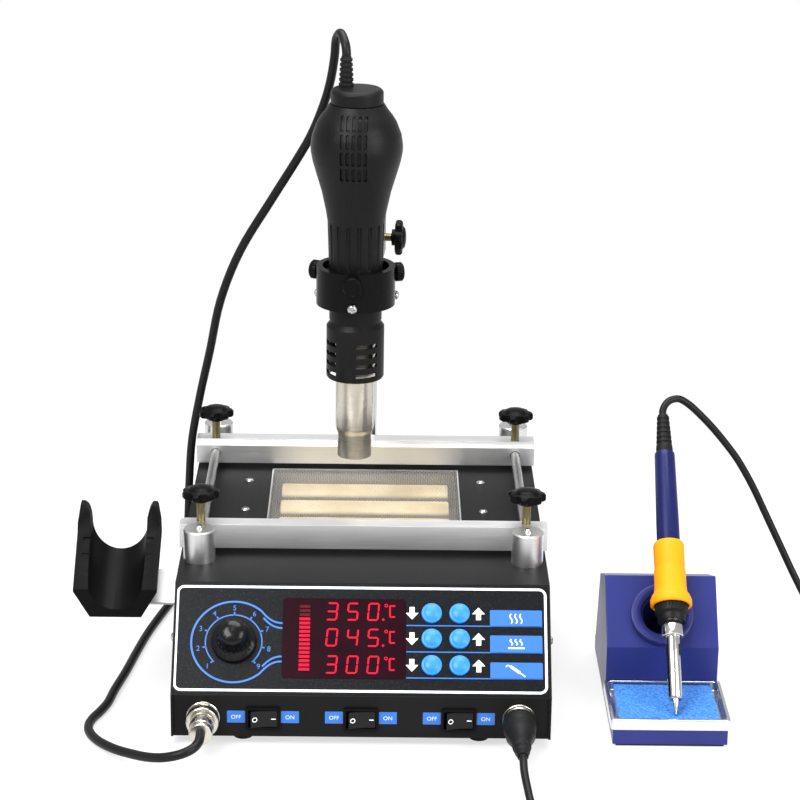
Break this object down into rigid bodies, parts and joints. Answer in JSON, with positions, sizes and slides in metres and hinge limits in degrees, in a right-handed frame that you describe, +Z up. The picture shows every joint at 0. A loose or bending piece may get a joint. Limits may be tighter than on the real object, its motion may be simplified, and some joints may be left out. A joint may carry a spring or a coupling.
{
  "type": "bga rework station",
  "caption": "Bench rework station: hot air gun in a ring on a column over a preheating plate with clamp rails, sloping control panel, gun cradle, and a soldering iron on its stand",
  "frame": {"origin": "on the table under the middle of the set, cords left out", "axes": "+X to the right as seen from the front, +Y to the back, +Z up"},
  "size_m": [0.5218, 0.4524, 0.4004],
  "materials": {
    "casing": "satin black powder coat",
    "overlay": "printed film with fine sparkle",
    "lens": "dark red tinted window",
    "board": "green laminate",
    "rubber": "matte black rubber",
    "steel": "bright zinc plate",
    "mesh": "fine woven mesh",
    "ceramic": "matte cream ceramic",
    "black_plastic": "fine textured black",
    "gloss_black": "glossy black",
    "black_metal": "glossy black enamel",
    "aluminium": "satin anodised",
    "column_metal": "polished",
    "nickel": "warm brushed nickel",
    "tip_metal": "bright tip plating",
    "button_blue": "sky blue",
    "stand_blue": "ultramarine enamel",
    "tray_metal": "bright pressed tray",
    "sponge": "open sky blue sponge",
    "navy": "navy moulded handle",
    "yellow_grip": "yellow orange soft grip",
    "cord": "soft black sheath"
  },
  "bodies": {
    "station": {"chassis": "casing", "cover": "casing", "feet": "rubber", "screws": "steel", "panel_overlay": "overlay", "display_window": "lens", "control_board": "board", "heater_tray": "steel", "heater_strips": "ceramic", "heater_grille": "mesh", "switch_housings": "black_plastic", "panel_sockets": "nickel", "power_inlet": "black_plastic", "rail_posts": "aluminium", "guide_rods": "steel", "column": "column_metal", "cradle": "black_plastic", "cradle_bracket": "aluminium", "gun_plug": "nickel", "gun_cord": "cord", "iron_plug": "black_plastic", "iron_cord": "cord", "iron_cord_coil": "cord", "stand_frame": "stand_blue", "iron_holder": "stand_blue", "sponge_tray": "tray_metal", "sponge": "sponge"},
    "front_rail": {"front_rail": "aluminium"},
    "rear_rail": {"rear_rail": "aluminium"},
    "carriage": {"ring_arm": "black_metal", "gun_body": "black_plastic", "gun_cap": "black_plastic", "gun_heat_guard": "black_metal", "gun_outlet": "nickel", "gun_relief": "rubber", "ring_screws": "steel"},
    "iron": {"iron_tip": "tip_metal", "iron_barrel": "nickel", "iron_nut": "black_plastic", "iron_grip": "yellow_grip", "iron_handle": "navy", "iron_relief": "rubber"},
    "rail_knob_fl": {"rail_knob_fl": "black_plastic"},
    "rail_knob_fr": {"rail_knob_fr": "black_plastic"},
    "rail_knob_rl": {"rail_knob_rl": "black_plastic"},
    "rail_knob_rr": {"rail_knob_rr": "black_plastic"},
    "column_knob": {"column_knob": "black_plastic"},
    "ring_screw_front": {"ring_screw_front": "black_plastic"},
    "ring_screw_left": {"ring_screw_left": "black_plastic"},
    "ring_screw_right": {"ring_screw_right": "black_plastic"},
    "air_knob": {"air_knob": "gloss_black"},
    "button_1": {"button_1": "button_blue"},
    "button_2": {"button_2": "button_blue"},
    "button_3": {"button_3": "button_blue"},
    "button_4": {"button_4": "button_blue"},
    "button_5": {"button_5": "button_blue"},
    "button_6": {"button_6": "button_blue"},
    "rocker_left": {"rocker_left": "gloss_black"},
    "rocker_middle": {"rocker_middle": "gloss_black"},
    "rocker_right": {"rocker_right": "gloss_black"}
  },
  "joints": [
    {"name": "front_rail_slide", "type": "slide", "parent": "station", "child": "front_rail", "axis": [0, 1, 0], "range_m": [0, 0.058]},
    {"name": "rear_rail_slide", "type": "slide", "parent": "station", "child": "rear_rail", "axis": [0, 1, 0], "range_m": [-0.05, 0.004]},
    {"name": "carriage_slide", "type": "slide", "parent": "station", "child": "carriage", "axis": [0, 0, 1], "range_m": [-0.02, 0.045], "deforming": ["gun_cord"]},
    {"name": "iron_lift", "type": "slide", "parent": "station", "child": "iron", "axis": [0, 0, 1], "range_m": [0, 0.12], "deforming": ["iron_cord"]},
    {"name": "rail_knob_fl_turn", "type": "hinge", "parent": "front_rail", "child": "rail_knob_fl", "pos_m": [-0.1253, -0.0461, 0.1184], "axis": [0, 0, 1], "range_deg": [0, 360]},
    {"name": "rail_knob_fr_turn", "type": "hinge", "parent": "front_rail", "child": "rail_knob_fr", "pos_m": [0.0803, -0.0461, 0.1184], "axis": [0, 0, 1], "range_deg": [0, 360]},
    {"name": "rail_knob_rl_turn", "type": "hinge", "parent": "rear_rail", "child": "rail_knob_rl", "pos_m": [-0.1253, 0.1118, 0.1184], "axis": [0, 0, 1], "range_deg": [0, 360]},
    {"name": "rail_knob_rr_turn", "type": "hinge", "parent": "rear_rail", "child": "rail_knob_rr", "pos_m": [0.0803, 0.1118, 0.1184], "axis": [0, 0, 1], "range_deg": [0, 360]},
    {"name": "column_knob_turn", "type": "hinge", "parent": "carriage", "child": "column_knob", "pos_m": [-0.0225, 0.1385, 0.242], "axis": [0.9977, -0.068, 0], "range_deg": [0, 360]},
    {"name": "ring_screw_front_turn", "type": "hinge", "parent": "carriage", "child": "ring_screw_front", "pos_m": [-0.02952, 0.03554, 0.2442], "axis": [-0.068, -0.9977, 0], "range_deg": [0, 360]},
    {"name": "ring_screw_right_turn", "type": "hinge", "parent": "carriage", "child": "ring_screw_right", "pos_m": [-0.02952, 0.03554, 0.2442], "axis": [0.9608, 0.2773, 0], "range_deg": [0, 360]},
    {"name": "ring_screw_left_turn", "type": "hinge", "parent": "carriage", "child": "ring_screw_left", "pos_m": [-0.02952, 0.03554, 0.2442], "axis": [-0.9143, 0.4051, 0], "range_deg": [0, 360]},
    {"name": "air_knob_turn", "type": "hinge", "parent": "station", "child": "air_knob", "pos_m": [-0.1005, -0.12843, 0.05778], "axis": [0, -0.7346, 0.6785], "range_deg": [-150, 150]},
    {"name": "button_1_press", "type": "slide", "parent": "station", "child": "button_1", "axis": [0, 0.7346, -0.6785], "range_m": [0, 0.0012], "stiffness_N_per_m": 400},
    {"name": "button_2_press", "type": "slide", "parent": "station", "child": "button_2", "axis": [0, 0.7346, -0.6785], "range_m": [0, 0.0012], "stiffness_N_per_m": 400},
    {"name": "button_3_press", "type": "slide", "parent": "station", "child": "button_3", "axis": [0, 0.7346, -0.6785], "range_m": [0, 0.0012], "stiffness_N_per_m": 400},
    {"name": "button_4_press", "type": "slide", "parent": "station", "child": "button_4", "axis": [0, 0.7346, -0.6785], "range_m": [0, 0.0012], "stiffness_N_per_m": 400},
    {"name": "button_5_press", "type": "slide", "parent": "station", "child": "button_5", "axis": [0, 0.7346, -0.6785], "range_m": [0, 0.0012], "stiffness_N_per_m": 400},
    {"name": "button_6_press", "type": "slide", "parent": "station", "child": "button_6", "axis": [0, 0.7346, -0.6785], "range_m": [0, 0.0012], "stiffness_N_per_m": 400},
    {"name": "rocker_left_tip", "type": "hinge", "parent": "station", "child": "rocker_left", "pos_m": [-0.0817, -0.1485, 0.01806], "axis": [0, 0, 1], "range_deg": [-14, 0]},
    {"name": "rocker_middle_tip", "type": "hinge", "parent": "station", "child": "rocker_middle", "pos_m": [-0.0225, -0.1485, 0.01806], "axis": [0, 0, 1], "range_deg": [-14, 0]},
    {"name": "rocker_right_tip", "type": "hinge", "parent": "station", "child": "rocker_right", "pos_m": [0.0367, -0.1485, 0.01806], "axis": [0, 0, 1], "range_deg": [-14, 0]}
  ]
}
